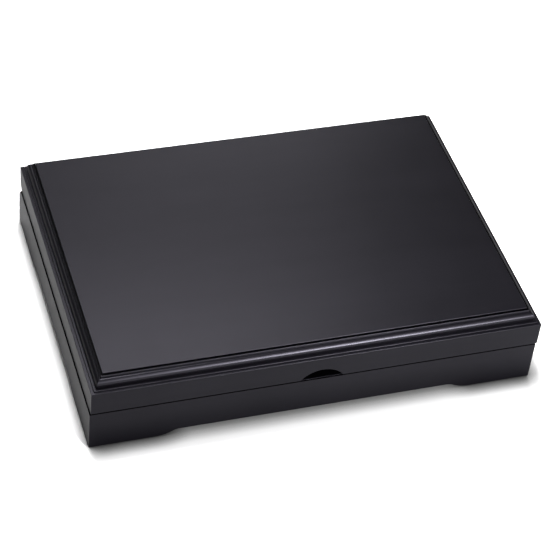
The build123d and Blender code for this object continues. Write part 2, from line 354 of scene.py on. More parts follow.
def grosgrain(name):
    # the ribs follow the ribbon's own length, kept in its weave map in metres
    look = grosgrainLook
    finish, tree, shader, _ = startFinish(name)
    weave = tree.nodes.new("ShaderNodeUVMap")
    weave.uv_map = "weave"
    ribs = tree.nodes.new("ShaderNodeTexWave")
    ribs.bands_direction = "Y"
    setShader(ribs, look["ribs"])
    tree.links.new(weave.outputs["UV"], ribs.inputs["Vector"])
    threads = noiseOf(tree, stretched(tree, weave.outputs["UV"], look["threadStretch"]), *look["threads"])
    tree.links.new(colours(tree, ribs.outputs["Fac"], *look["colours"]), shader.inputs["Base Color"])
    tree.links.new(ranged(tree, threads, *look["rough"]), shader.inputs["Roughness"])
    ribbed = bumpOf(tree, shader, ribs.outputs["Fac"], *look["ribBump"])
    bumpOf(tree, shader, threads, *look["threadBump"], ribbed)
    setShader(shader, look["even"])
    return finish


lacquerAlongX = lacquer("blackLacquerAlongX", 0)
lacquerAlongY = lacquer("blackLacquerAlongY", 1)
edgeAlongX = lacquer("easedEdgeAlongX", 0, edge=True, specular=0.75)
edgeAlongY = lacquer("easedEdgeAlongY", 1, edge=True, specular=0.75)
beadAlongX = lacquer("polishedBeadAlongX", 0, edge=True, specular=1.0)
beadAlongY = lacquer("dullBeadAlongY", 1, specular=0.25)
# painted shade for the moulding's grooves, the seam's flats and the notch's walls: a five times darker
# colour with next to no polish
paintedShadeAlongX = lacquer("paintedShadeGrooveAlongX", 0, specular=0.05, paintedShadeFactor=0.2)
velvetAlongX = velvet("blackVelvetAlongX", 0)
velvetAlongY = velvet("blackVelvetAlongY", 1)
woodAlongX = wood("poplarAlongX", 0)
woodAlongY = wood("poplarAlongY", 1)
fibreboard = speckled(
    "stainedFibreboard", (0.022, 0.020, 0.019), (0.042, 0.038, 0.036), size=2.2 * mm, rough=0.78
)
felt = speckled(
    "blackFelt", (0.014, 0.014, 0.015), (0.028, 0.028, 0.030), size=0.9 * mm, rough=0.92, sheen=0.5
)
brass = metal("brushedBrass", (0.55, 0.39, 0.155), (0.68, 0.52, 0.25), (0.24, 0.42), brushing=60.0)
brassEdge = metal("rubbedBrassEdge", (0.66, 0.50, 0.23), (0.74, 0.59, 0.31), (0.16, 0.28), brushing=400.0)
nickel = metal("nickelPlate", (0.68, 0.67, 0.65), (0.76, 0.75, 0.73), (0.12, 0.26), brushing=700.0)
blackSatin = satin("blackSatin")
ribbonCloth = grosgrain("blackGrosgrain")
print("finishes made")


# Mesh helpers
def meshObject(name, bm):
    data = bpy.data.meshes.new(name)
    bm.normal_update()
    bm.to_mesh(data)
    bm.free()
    piece = bpy.data.objects.new(name, data)
    scene.collection.objects.link(piece)
    return piece


def mergedCopy(node):
    bm = bmesh.new()
    bm.from_mesh(nodes[node].data)
    bmesh.ops.remove_doubles(bm, verts=bm.verts, dist=1e-6)
    return bm


def settle(piece):
    # the evaluated mesh takes the place of the modifiers
    depsgraph = bpy.context.evaluated_depsgraph_get()
    shape = bpy.data.meshes.new_from_object(piece.evaluated_get(depsgraph))
    piece.modifiers.clear()
    piece.data = shape
    return piece


def prism(name, axis, outline, low, high):
    # outline holds (first, second) points in the plane across the axis: YZ, XZ or XY
    def corner(first, second, along):
        point = [first, second]
        point.insert("xyz".index(axis), along)
        return Vector(point)

    bm = bmesh.new()
    ends = [[bm.verts.new(corner(a, b, along)) for a, b in outline] for along in (low, high)]
    bm.faces.new(ends[0])
    bm.faces.new(ends[1][::-1])
    for i in range(len(outline)):
        j = (i + 1) % len(outline)
        bm.faces.new((ends[0][i], ends[1][i], ends[1][j], ends[0][j]))
    bmesh.ops.recalc_face_normals(bm, faces=bm.faces)
    return meshObject(name, bm)


def boxOutline(firstLow, firstHigh, secondLow, secondHigh):
    return [(firstLow, secondLow), (firstHigh, secondLow), (firstHigh, secondHigh), (firstLow, secondHigh)]


def arcPoints(centre, radius, start, end, count):
    steps = [start + (end - start) * i / count for i in range(count + 1)]
    return [(centre[0] + radius * math.cos(a), centre[1] + radius * math.sin(a)) for a in steps]


def cut(piece, cutters):
    for cutter in cutters:
        step = piece.modifiers.new("cut", "BOOLEAN")
        step.operation = "DIFFERENCE"
        step.solver = "EXACT"
        step.object = cutter
    settle(piece)
    for cutter in cutters:
        bpy.data.objects.remove(cutter)
    return piece


def ease(piece, width, segments=3, angle=32.0, material=1):
    while len(piece.data.materials) <= material:
        piece.data.materials.append(None)
    step = piece.modifiers.new("ease", "BEVEL")
    step.width = width
    step.segments = segments
    step.limit_method = "ANGLE"
    step.angle_limit = math.radians(angle)
    step.material = material
    return settle(piece)


def shadeByAngle(piece, angle=38.0):
    mesh = piece.data
    mesh.polygons.foreach_set("use_smooth", [True] * len(mesh.polygons))
    mesh.set_sharp_from_angle(angle=math.radians(angle))
    step = piece.modifiers.new("flatFacesFirst", "WEIGHTED_NORMAL")
    step.keep_sharp = True
    step.weight = 80
    settle(piece)


def dress(piece, finishes):
    # emptying the slots resets every face's finish, so they're kept and put back
    mesh = piece.data
    kept = [min(face.material_index, len(finishes) - 1) for face in mesh.polygons]
    mesh.materials.clear()
    for finish in finishes:
        mesh.materials.append(finish)
    mesh.polygons.foreach_set("material_index", kept)


def seat(piece, body, slot, *replaced):
    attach(piece, body)
    if replaced:
        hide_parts(*replaced)


# The two rings of rails
shell = {
    "edgeRound": 0.30 * mm,
    "seamRound": 0.12 * mm,
    "seamExtra": 2.0 * mm,
    "rebateWidth": 1.2 * mm,
    "rebateHeight": 0.6 * mm,
    "footLength": 60.0 * mm,
    "apronLift": 4.2 * mm,
    "footRound": 24.0 * mm,
    "apronRound": 10.0 * mm,
    "arcSteps": 8,
    "lidBevel": 51.0,
    "baseBevel": 50.0,
    "notchWidth": 28.6 * mm,
    "notchHeight": 7.25 * mm,
    "notchOffset": 1.6 * mm,
    "notchSteps": 40,
    "beyond": 20.0 * mm,
    "mortiseSlack": 0.15 * mm,
    "knuckleRelief": 0.3 * mm,
    "knuckleSteps": 32,
    "pocketSteps": 56,
    "leafFace": 0.85 * mm,
}
beyond = shell["beyond"]


def ring(name, low, high, up):
    # from its front rail's box; the side at the seam is left long and cut off once the rest is eased
    wall, extra = high.y - low.y, shell["seamExtra"]
    foot, head = (low.z - extra, high.z) if up else (low.z, high.z + extra)
    piece = prism(name, "z", boxOutline(low.x, high.x, -halfDepth, halfDepth), foot, head)
    within = boxOutline(low.x + wall, high.x - wall, wall - halfDepth, halfDepth - wall)
    return cut(piece, [prism("inside", "z", within, foot - beyond, head + beyond)])


def atSeam(ringPiece, edgeZ, up):
    # cuts the long side off, with a small rebate round the outside of the base
    far = edgeZ - beyond if up else edgeZ + beyond
    away = halfWidth + beyond
    cutters = [prism("long", "z", boxOutline(-away, away, -away, away), min(edgeZ, far), max(edgeZ, far))]
    if not up:
        sill, inner = edgeZ - shell["rebateHeight"], shell["rebateWidth"]
        for low, high in ((-away, inner - halfWidth), (halfWidth - inner, away)):
            cutters.append(prism("rebate", "z", boxOutline(low, high, -away, away), sill, edgeZ + mm))
        frontRebate = boxOutline(inner - halfWidth, halfWidth - inner, -away, inner - halfDepth)
        cutters.append(prism("rebate", "z", frontRebate, sill, edgeZ + mm))
    ease(cut(ringPiece, cutters), shell["seamRound"], segments=2, angle=48.0)


def apronOutline(halfLength, sole):
    lift, footRound, apronRound = shell["apronLift"], shell["footRound"], shell["apronRound"]
    turn = math.acos(1 - lift / (footRound + apronRound))
    levelHalf = halfLength - shell["footLength"]
    run = (footRound + apronRound) * math.sin(turn)
    steps, quarter = shell["arcSteps"], math.pi / 2
    footCentre, apronCentre = (-levelHalf - run, sole + footRound), (-levelHalf, sole + lift - apronRound)
    rise = arcPoints(footCentre, footRound, -quarter, turn - quarter, steps)
    out = arcPoints(apronCentre, apronRound, quarter + turn, quarter, steps)
    left = [(-levelHalf - run, sole - beyond)] + rise + out[1:]
    return left + [(-x, z) for x, z in reversed(left)]


def backWedge(name, edgeZ, degrees, up):
    # the bevel behind the hinge line
    fall = (halfDepth - hingeY + beyond) * math.tan(math.radians(degrees))
    away = halfDepth + beyond
    over = -beyond if up else beyond
    far = edgeZ + fall if up else edgeZ - fall
    outline = [(hingeY, edgeZ), (hingeY, edgeZ + over), (away, edgeZ + over), (away, far)]
    return prism(name, "x", outline, -halfWidth - beyond, halfWidth + beyond)


def hingeRecess(node, up):
    # the leaf's mortise and room for the knuckles
    low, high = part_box(node)
    slack = shell["mortiseSlack"]
    ends = (low.x - slack, high.x + slack)
    face, back = (seamZ - mm, seamZ + shell["leafFace"]) if up else (seamZ - shell["leafFace"], seamZ + mm)
    mortise = prism("mortise", "x", boxOutline(low.y - slack, hingeY, face, back), *ends)
    knuckle = high.z - seamZ + shell["knuckleRelief"]
    room = arcPoints((hingeY, seamZ), knuckle, 0, 2 * math.pi, shell["knuckleSteps"])[:-1]
    return [mortise, prism("knuckleRoom", "x", room, *ends)]


def magnetPockets(node, up):
    low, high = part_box(node)
    radius, middle = (high.y - low.y) / 2, (high.y + low.y) / 2
    foot, head = (low.z - mm, high.z) if up else (low.z, high.z + mm)
    pockets = []
    for x in (low.x + radius, high.x - radius):
        circle = arcPoints((x, middle), radius, 0, 2 * math.pi, shell["pocketSteps"])[:-1]
        pockets.append(prism("pocket", "z", circle, foot, head))
    return pockets


def fitted(ringPiece, body, *more):
    cutters = list(more) + magnetPockets(f"{body}_magnets", body == "lid")
    for side in ("left", "right"):
        cutters += hingeRecess(f"hinge_{body}_leaf_{side}", body == "lid")
    cut(ringPiece, cutters)


def paintShadeAtSeam(rail, seamAt):
    # the flats at the seam and the walls of the thumb notch get a rail's finish 2: painted shade, a darker
    # colour that takes no polish
    for face in rail.data.polygons:
        reach = abs(face.center.z - seamAt)
        isFlat = abs(face.normal.z) > 0.9 and reach < 2 * shell["rebateHeight"]
        inNotch = abs(face.center.x - shell["notchOffset"]) < shell["notchWidth"] / 2
        isWall = inNotch and abs(face.normal.y) < 0.5 and reach < shell["notchHeight"]
        if isFlat or isWall:
            face.material_index = 2


def railsOf(ringPiece, body, seamAt):
    # mitres the ring at its corners
    middle = lidMiddle if body == "lid" else 0.0
    for side, along in (("front", 0), ("back", 0), ("left", 1), ("right", 1)):
        node = f"{body}_{side}_rail"
        bm = bmesh.new()
        bm.from_mesh(ringPiece.data)
        sign = -1 if side in ("front", "left") else 1
        for end in (-1, 1):
            corner = Vector((middle + end * halfWidth, sign * halfDepth, 0))
            normal = Vector((end, -sign, 0))
            if along:
                corner = Vector((middle + sign * halfWidth, end * halfDepth, 0))
                normal = Vector((-sign, end, 0))
            everything = bm.verts[:] + bm.edges[:] + bm.faces[:]
            bmesh.ops.bisect_plane(
                bm, geom=everything, plane_co=corner, plane_no=normal, clear_outer=True, dist=1e-7
            )
            bmesh.ops.holes_fill(bm, edges=[e for e in bm.edges if e.is_boundary])
        bmesh.ops.recalc_face_normals(bm, faces=bm.faces)
        rail = meshObject(node.replace("_rail", "_dressed"), bm)
        shadeByAngle(rail)
        paintShadeAtSeam(rail, seamAt)
        plain, edge = (lacquerAlongY, edgeAlongY) if along else (lacquerAlongX, edgeAlongX)
        dress(rail, [plain, edge, paintedShadeAlongX])
        seat(rail, body, "black_lacquer", node)
    bpy.data.objects.remove(ringPiece)


baseRailLow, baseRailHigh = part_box("base_front_rail")
sole, baseTop = baseRailLow.z, baseRailHigh.z
baseRing = ring("baseRing", baseRailLow, baseRailHigh, up=False)
frontApron = prism("apron", "y", apronOutline(halfWidth, sole), -halfDepth - beyond, halfDepth + beyond)
sideApron = prism("sideApron", "x", apronOutline(halfDepth, sole), -halfWidth - beyond, halfWidth + beyond)
cut(baseRing, [frontApron, sideApron, backWedge("baseWedge", baseTop, shell["baseBevel"], up=False)])
ease(baseRing, shell["edgeRound"])
atSeam(baseRing, baseTop, up=False)
panelLow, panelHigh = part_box("bottom_panel")
groove = boxOutline(panelLow.x, panelHigh.x, panelLow.y, panelHigh.y)
fitted(baseRing, "base", prism("groove", "z", groove, panelLow.z, panelHigh.z))
railsOf(baseRing, "base", baseTop)

lidRailLow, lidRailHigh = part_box("lid_front_rail")
lidBottom = lidRailLow.z
lidRing = ring("lidRing", lidRailLow, lidRailHigh, up=True)
notchRise, notchHalf = shell["notchHeight"], shell["notchWidth"] / 2
notchRadius = (notchHalf ** 2 + notchRise ** 2) / (2 * notchRise)
notchCentre = (shell["notchOffset"], lidBottom + notchRise - notchRadius)
notchCircle = arcPoints(notchCentre, notchRadius, 0, 2 * math.pi, 2 * shell["notchSteps"])
notch = prism("notch", "y", notchCircle[:-1], -halfDepth - beyond, lidRailHigh.y + mm)
cut(lidRing, [notch, backWedge("lidWedge", lidBottom, shell["lidBevel"], up=True)])
ease(lidRing, shell["edgeRound"])
atSeam(lidRing, lidBottom, up=True)
fitted(lidRing, "lid")
railsOf(lidRing, "lid", lidBottom)
print("rails made")


# The moulded top: one closed outline carried round the panel, each ring a rectangle with rounded corners
moulding = {
    "stepInset": 2.0 * mm,
    "stepRise": 0.75 * mm,
    "beadInset": 7.1 * mm,
    "beadLift": 3.04 * mm,
    "beadRadius": 3.2 * mm,
    "beadUndercut": 25.0,
    "crownRise": 1.76 * mm,
    "quirkRun": 1.6 * mm,
    "quirkRise": 1.2 * mm,
    # how far up the quirk's wall the painted shade of finish 2 reaches
    "grooveShade": 0.5 * mm,
    "arrisRound": 0.3 * mm,
    "arrisSteps": 3,
    "beadSteps": 26,
    "cornerRound": 0.4 * mm,
    "cornerSteps": 4,
}


def mouldedProfile():
    # inset, height and the finish of the band above: 0 plain, 1 rubbed on the bead, 2 painted shade in a
    # groove, darker and dull
    m = moulding
    foot, step, r = m["stepInset"], m["stepRise"], m["arrisRound"]
    middle, lift, radius = m["beadInset"], m["beadLift"], m["beadRadius"]
    crown = lift + radius + m["crownRise"]
    field, top = middle + m["quirkRun"], crown + m["quirkRise"]

    def arris(inset, height, after):
        arc = arcPoints((inset + r, height - r), r, math.pi, math.pi / 2, m["arrisSteps"])
        return [(a, b, 1) for a, b in arc[:-1]] + [(*arc[-1], after)]

    under = math.pi + math.radians(m["beadUndercut"])
    bead = [(a, b, 1) for a, b in arcPoints((middle, lift), radius, under, math.pi / 2, m["beadSteps"])]
    groove = [(field, crown, 2), (field, crown + m["grooveShade"], 0)]
    points = [(foot, 0.0, 0)] + arris(foot, step, 0) + [(bead[0][0], step, 0)] + bead
    return points + arris(middle, crown, 2) + groove + arris(field, top, 0)


def roundedRing(bm, halfX, halfY, radius, z):
    ringVerts = []
    for quarter in range(4):
        signX = 1 if quarter in (0, 3) else -1
        signY = 1 if quarter in (0, 1) else -1
        centre = (lidMiddle + signX * (halfX - radius), signY * (halfY - radius))
        start = quarter * math.pi / 2
        for x, y in arcPoints(centre, radius, start, start + math.pi / 2, moulding["cornerSteps"]):
            ringVerts.append(bm.verts.new((x, y, z)))
    return ringVerts


def mouldedTop():
    bm = bmesh.new()
    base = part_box("lid_top_panel")[0].z
    profile = mouldedProfile()
    rings = [
        roundedRing(bm, halfWidth - inset, halfDepth - inset, moulding["cornerRound"], base + height)
        for inset, height, _ in profile
    ]
    for lower, upper, first in zip(rings, rings[1:], profile):
        for i in range(len(lower)):
            j = (i + 1) % len(lower)
            face = bm.faces.new((lower[i], lower[j], upper[j], upper[i]))
            middle = face.calc_center_median()
            onSide = abs(middle.x - lidMiddle) / halfWidth > abs(middle.y) / halfDepth
            face.material_index = 3 if first[2] == 1 and onSide else first[2]
    bm.faces.new(rings[0][::-1])
    bm.faces.new(rings[-1])
    bmesh.ops.recalc_face_normals(bm, faces=bm.faces)
    piece = meshObject("lid_top_dressed", bm)
    shadeByAngle(piece, angle=32.0)
    dress(piece, [lacquerAlongX, beadAlongX, paintedShadeAlongX, beadAlongY])
    seat(piece, "lid", "black_lacquer", "lid_top_panel")


mouldedTop()
print("moulded top made")


# Linings, tray and fittings
def dressed(name, node, body, slot, width, finishes, angle=32.0):
    # a CAD node's own shape with eased edges
    bm = mergedCopy(node)
    bmesh.ops.dissolve_limit(bm, angle_limit=math.radians(1.0), verts=bm.verts, edges=bm.edges)
    bmesh.ops.recalc_face_normals(bm, faces=bm.faces)
    piece = ease(meshObject(name, bm), width, segments=2, angle=angle, material=len(finishes) - 1)
    shadeByAngle(piece)
    dress(piece, finishes)
    seat(piece, body, slot, node)


# how far each board's or fitting's edges are eased
easing = {
    "liner": 0.6 * mm,
    "rest": 0.4 * mm,
    "bottomBoard": 0.4 * mm,
    "block": 0.6 * mm,
    "wellFloor": 0.3 * mm,
    "innerBoard": 0.3 * mm,
    "leaf": 0.12 * mm,
    "pin": 0.2 * mm,
    "hingeAngle": 40.0,
}
for side in ("front", "back", "left", "right"):
    nap, timber = (velvetAlongX, woodAlongX) if side in ("front", "back") else (velvetAlongY, woodAlongY)
    dressed(f"velvet_liner_{side}", f"liner_{side}", "base", "black_velvet", easing["liner"], [nap])
    dressed(f"tray_rest_{side}", f"cleat_{side}", "base", "raw_wood", easing["rest"], [timber])
dressed("bottom_board", "bottom_panel", "base", "raw_board", easing["bottomBoard"], [fibreboard])
dressed("glue_blocks", "corner_blocks", "base", "raw_wood", easing["block"], [woodAlongX])
dressed("well_floors", "tray_backing", "base", "black_velvet", easing["wellFloor"], [velvetAlongX])
dressed("lid_inner_board", "lid_lining_board", "lid", "raw_board", easing["innerBoard"], [fibreboard])
leafFinishes, turned = [brass, brassEdge], easing["hingeAngle"]
for side in ("left", "right"):
    for body in ("base", "lid"):
        leaf = f"hinge_{body}_leaf_{side}"
        dressed(f"{side}_leaf_on_{body}", leaf, body, "hinge_brass", easing["leaf"], leafFinishes, turned)
    dressed(f"{side}_hinge_pin", f"hinge_pin_{side}", "base", "hinge_brass", easing["pin"], [brass], turned)
print("boards and hinges made")


# Coin tray: rounded wells with two finger notches each
tray = {
    "wellRadius": 23.3 * mm,
    "fingerRadius": 7.5 * mm,
    "fingerReach": 4.0 * mm,
    "rimRound": 0.9 * mm,
    "columns": 5,
    "rows": 3,
    "steps": 120,
}


def evenPlaces(length, size, count):
    web = (length - count * size) / (count + 1)
    return [-length / 2 + web + size / 2 + i * (size + web) for i in range(count)]


def wellOutline(x, y):
    # the well's edge and its two finger notches as one outline, seen from its middle
    radius, finger = tray["wellRadius"], tray["fingerRadius"]
    out = radius + tray["fingerReach"] - finger
    points = []
    for i in range(tray["steps"]):
        angle = 2 * math.pi * i / tray["steps"]
        reach = radius
        across, along = out * math.cos(angle), out * abs(math.sin(angle))
        if finger > across and along > 0:
            reach = max(reach, along + math.sqrt(max(finger ** 2 - across ** 2, 0)))
        points.append((x + reach * math.cos(angle), y + reach * math.sin(angle)))
    return points


def makeTray():
    low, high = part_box("tray_board")
    board = prism("coin_tray", "z", boxOutline(low.x, high.x, low.y, high.y), low.z, high.z)
    wells = []
    for x in evenPlaces(high.x - low.x, 2 * tray["wellRadius"], tray["columns"]):
        for y in evenPlaces(high.y - low.y, 2 * tray["wellRadius"], tray["rows"]):
            wells.append(prism("well", "z", wellOutline(x, y), low.z - mm, high.z + mm))
    cut(board, wells)
    ease(board, tray["rimRound"], segments=3, angle=35.0, material=0)
    shadeByAngle(board, angle=50.0)
    dress(board, [velvetAlongX])
    seat(board, "base", "black_velvet", "tray_board")


makeTray()
print("coin tray made")


# Hinges, screws, magnets and pads
def looseParts(node):
    # (low, high) of each solid of a node that has several
    bm = mergedCopy(node)
    left, parts = set(bm.verts), []
    while left:
        found = [left.pop()]
        for vert in found:
            near = {edge.other_vert(vert) for edge in vert.link_edges} & left
            left -= near
            found += near
        spans = list(zip(*(vert.co for vert in found)))
        parts.append((Vector([min(span) for span in spans]), Vector([max(span) for span in spans])))
    bm.free()
    return sorted(parts, key=lambda part: tuple(part[0]))


def lathe(name, profile, steps):
    # profile holds (radius, height) from the axis out and back to it; a radius of 0 is a pole of one point
    bm = bmesh.new()
    rings = []
    for radius, height in profile:
        if radius < 1e-7:
            rings.append([bm.verts.new((0, 0, height))])
            continue
        turn = [2 * math.pi * i / steps for i in range(steps)]
        rings.append([bm.verts.new((radius * math.cos(a), radius * math.sin(a), height)) for a in turn])
    for lower, upper in zip(rings, rings[1:]):
        for i in range(steps):
            j = (i + 1) % steps
            turns = ((lower, i), (lower, j), (upper, j), (upper, i))
            corners = list(dict.fromkeys(circle[k % len(circle)] for circle, k in turns))
            if len(corners) > 2:
                bm.faces.new(corners)
    bmesh.ops.recalc_face_normals(bm, faces=bm.faces)
    piece = meshObject(name, bm)
    scene.collection.objects.unlink(piece)
    return piece


def fittingTree():
    # one fitting on each point, turned over if wanted and by chance round its own axis
    tree = bpy.data.node_groups.new("fittings", "GeometryNodeTree")
    sockets = (
        ("Places", "INPUT", "NodeSocketGeometry"),
        ("Fitting", "INPUT", "NodeSocketObject"),
        ("Finish", "INPUT", "NodeSocketMaterial"),
        ("Turned Over", "INPUT", "NodeSocketFloat"),
        ("Chance Turn", "INPUT", "NodeSocketFloat"),
        ("Seed", "INPUT", "NodeSocketInt"),
        ("Fittings", "OUTPUT", "NodeSocketGeometry"),
    )
    for name, way, kind in sockets:
        tree.interface.new_socket(name, in_out=way, socket_type=kind)
    new, link = tree.nodes.new, tree.links.new
    given, result = new("NodeGroupInput"), new("NodeGroupOutput")
    fitting = new("GeometryNodeObjectInfo")
    fitting.inputs["As Instance"].default_value = True
    chance, turn = new("FunctionNodeRandomValue"), new("ShaderNodeCombineXYZ")
    place, real = new("GeometryNodeInstanceOnPoints"), new("GeometryNodeRealizeInstances")
    paint = new("GeometryNodeSetMaterial")
    link(given.outputs["Fitting"], fitting.inputs["Object"])
    link(given.outputs["Chance Turn"], chance.inputs[3])  # the largest plain number
    link(given.outputs["Seed"], chance.inputs["Seed"])
    link(given.outputs["Turned Over"], turn.inputs["X"])
    link(chance.outputs[1], turn.inputs["Z"])
    link(given.outputs["Places"], place.inputs["Points"])
    link(fitting.outputs["Geometry"], place.inputs["Instance"])
    link(turn.outputs["Vector"], place.inputs["Rotation"])
    link(place.outputs["Instances"], real.inputs["Geometry"])
    link(real.outputs["Geometry"], paint.inputs["Geometry"])
    link(given.outputs["Finish"], paint.inputs["Material"])
    link(paint.outputs["Geometry"], result.inputs["Fittings"])
    return tree


fittings = fittingTree()


def placeFittings(name, node, body, slot, fitting, finish, places, values):
    data = bpy.data.meshes.new(name)
    data.from_pydata(places, [], [])
    piece = bpy.data.objects.new(name, data)
    scene.collection.objects.link(piece)
    step = piece.modifiers.new("fittings", "NODES")
    step.node_group = fittings
    wanted = {"Fitting": fitting, "Finish": finish, **values}
    for item in fittings.interface.items_tree:
        if item.name in wanted:
            step[item.identifier] = wanted[item.name]
    settle(piece)
    bpy.data.objects.remove(fitting)
    shadeByAngle(piece, angle=30.0)
    seat(piece, body, slot, node)


screwMake = {
    "headRadius": 1.6 * mm,
    "headHeight": 0.8 * mm,
    "headEdge": 0.08 * mm,
    "shankRadius": 0.8 * mm,
    "pointHeight": 1.6 * mm,
    "length": 8.0 * mm,
    "slotWidth": 0.4 * mm,
    "slotDepth": 0.35 * mm,
    "slotEdge": 0.04 * mm,
    "steps": 40,
    "chanceTurn": 3.0,
    "seeds": {"base": 3, "lid": 8},
}


def makeScrew():
    # its head's face at the origin, its point below
    m = screwMake
    head, shank, edge = m["headRadius"], m["shankRadius"], m["headEdge"]
    profile = [
        (0, -m["length"]),
        (shank, m["pointHeight"] - m["length"]),
        (shank, -m["headHeight"]),
        (head, -edge),
        (head - edge, 0),
        (0, 0),
    ]
    screw = lathe("screw", profile, m["steps"])
    scene.collection.objects.link(screw)
    depth, half = m["slotDepth"], m["slotWidth"] / 2
    cut(screw, [prism("slot", "x", boxOutline(-half, half, -depth, depth), -2 * head, 2 * head)])
    ease(screw, m["slotEdge"], segments=1, angle=50.0, material=0)
    scene.collection.objects.unlink(screw)
    return screw


for body, over in (("base", 0.0), ("lid", math.pi)):
    node = f"hinge_{body}_screws"
    places = []
    for low, high in looseParts(node):
        places.append(((low.x + high.x) / 2, (low.y + high.y) / 2, low.z if over else high.z))
    values = {"Turned Over": over, "Chance Turn": screwMake["chanceTurn"], "Seed": screwMake["seeds"][body]}
    placeFittings(f"{body}_brass_screws", node, body, "hinge_brass", makeScrew(), brass, places, values)


discMake = {
    "magnetEdge": 0.25 * mm,
    "padEdge": 0.3 * mm,
    "steps": 56,
    "edgeSteps": 4,
    "chanceTurn": 6.0,
    "seed": 5,
}


def makeDisc(low, high, edge):
    # a disc with rounded rims, standing on the origin
    radius, height = (high.x - low.x) / 2, high.z - low.z
    lower = arcPoints((radius - edge, edge), edge, -math.pi / 2, 0, discMake["edgeSteps"])
    upper = arcPoints((radius - edge, height - edge), edge, 0, math.pi / 2, discMake["edgeSteps"])
    return lathe("disc", [(0, 0), *lower, *upper, (0, height)], discMake["steps"])


for node, body, name, slot, finish, edge in (
    ("base_magnets", "base", "base_magnet_discs", "magnet_nickel", nickel, discMake["magnetEdge"]),
    ("lid_magnets", "lid", "lid_magnet_discs", "magnet_nickel", nickel, discMake["magnetEdge"]),
    ("felt_pads", "base", "felt_feet", "felt", felt, discMake["padEdge"]),
):
    parts = looseParts(node)
    places = [((low.x + high.x) / 2, (low.y + high.y) / 2, low.z) for low, high in parts]
    disc = makeDisc(*parts[0], edge)
    values = {"Turned Over": 0.0, "Chance Turn": discMake["chanceTurn"], "Seed": discMake["seed"]}
    placeFittings(name, node, body, slot, disc, finish, places, values)
print("screws, magnets and pads made")


# Lift ribbons: each hangs beside the tray and lies folded over its edge
ribbon = {
    "width": 12.0 * mm,
    "thickness": 0.4 * mm,
    "clear": 0.15 * mm,
    "bend": 1.0 * mm,
    "lift": 1.6 * mm,
    "liftFrom": 0.45,  # share of the lap
    "liftSpread": 0.3,
    "footClear": 0.1 * mm,
    "endClear": 0.3 * mm,
    "hangSteps": 8,
    "bendSteps": 6,
    "lapSteps": 24,
    "acrossSteps": 12,
    "notch": 2.4 * mm,
    "notchFrom": 0.8,  # share of the length
    "ripple": 0.015 * mm,
    "rippleTurn": 260.0,  # radians per metre
    "rippleSlant": 1.3,
}


def ribbonPath(trayHigh, foot, inner):
    # (distance from the case's middle, height) along the ribbon's inner face, from its foot to its loose end
    r, clear = ribbon["bend"], ribbon["clear"]
    hang, lapSteps = ribbon["hangSteps"], ribbon["lapSteps"]
    side, top = trayHigh.x + clear, trayHigh.z + clear
    centre = (side - r, top - r)
    path = [(side, foot + (centre[1] - foot) * i / hang) for i in range(hang)]
    path += arcPoints(centre, r, 0, math.pi / 2, ribbon["bendSteps"])
    for i in range(1, lapSteps + 1):
        share = i / lapSteps
        rise = ribbon["lift"] * max(0.0, share - ribbon["liftFrom"]) ** 2 / ribbon["liftSpread"]
        path.append((centre[0] - (centre[0] - inner) * share, top + rise))
    return path


def makeRibbon(side, sign):
    node = f"lift_ribbon_{side}"
    low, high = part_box(node)
    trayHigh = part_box("tray_board")[1]
    inner = min(abs(low.x), abs(high.x)) + ribbon["endClear"]
    path = ribbonPath(trayHigh, low.z + ribbon["footClear"], inner)
    steps, half = ribbon["acrossSteps"], ribbon["width"] / 2
    lengths = [0.0]
    for first, second in zip(path, path[1:]):
        lengths.append(lengths[-1] + math.dist(first, second))
    bm = bmesh.new()
    weave = bm.loops.layers.uv.new("weave")
    grids = []
    notchFrom = ribbon["notchFrom"]
    for layer in (0, 1):
        grid = []
        for i, (x, z) in enumerate(path):
            before, after = path[max(i - 1, 0)], path[min(i + 1, len(path) - 1)]
            run = Vector((after[0] - before[0], after[1] - before[1])).normalized()
            out = Vector((run.y, -run.x)) * ribbon["thickness"] * layer
            toEnd = max(0.0, lengths[i] / lengths[-1] - notchFrom) / (1 - notchFrom)
            row = []
            for k in range(steps + 1):
                across = 2 * k / steps - 1
                phase = lengths[i] * ribbon["rippleTurn"] + across * ribbon["rippleSlant"] + sign
                ripple = ribbon["ripple"] * math.sin(phase) * layer
                end = ribbon["notch"] * (1 - abs(across)) * toEnd
                spot = (sign * (x + out.x + end), half * across, z + out.y + ripple)
                row.append(bm.verts.new(spot))
            grid.append(row)
        grids.append(grid)
    inside, outside = grids
    rows = len(path)

    def quad(*corners):
        # a corner is its layer, its place along the ribbon and its place across
        face = bm.faces.new([layer[i][k] for layer, i, k in corners])
        for loop, (_, i, k) in zip(face.loops, corners):
            loop[weave].uv = (half * (2 * k / steps - 1), lengths[i])

    for i in range(rows - 1):
        for k in range(steps):
            for grid in (inside, outside):
                quad((grid, i, k), (grid, i + 1, k), (grid, i + 1, k + 1), (grid, i, k + 1))
        for k in (0, steps):
            quad((inside, i, k), (inside, i + 1, k), (outside, i + 1, k), (outside, i, k))
    for i in (0, rows - 1):
        for k in range(steps):
            quad((inside, i, k), (inside, i, k + 1), (outside, i, k + 1), (outside, i, k))
    bmesh.ops.recalc_face_normals(bm, faces=bm.faces)
    piece = meshObject(f"{side}_lift_ribbon", bm)
    shadeByAngle(piece, angle=50.0)
    dress(piece, [ribbonCloth])
    seat(piece, "base", "ribbon", node)


for side, sign in (("left", -1), ("right", 1)):
    makeRibbon(side, sign)
print("ribbons made")


# Lid cushion: satin drawn over foam, glued to the inner board
cushion = {
    "voxel": 4.5 * mm,
    "pressure": 4.0,
    "frames": 18,
    "quality": 6,
    "mass": 0.2,
    "stretchStiffness": 12.0,
    "bendStiffness": 0.4,
    "cap": 1.6 * mm,  # the most that any point swells
    "lowest": 39.4 * mm,
    "gluedEdge": 1.8 * mm,
    "spill": 0.2 * mm,
}


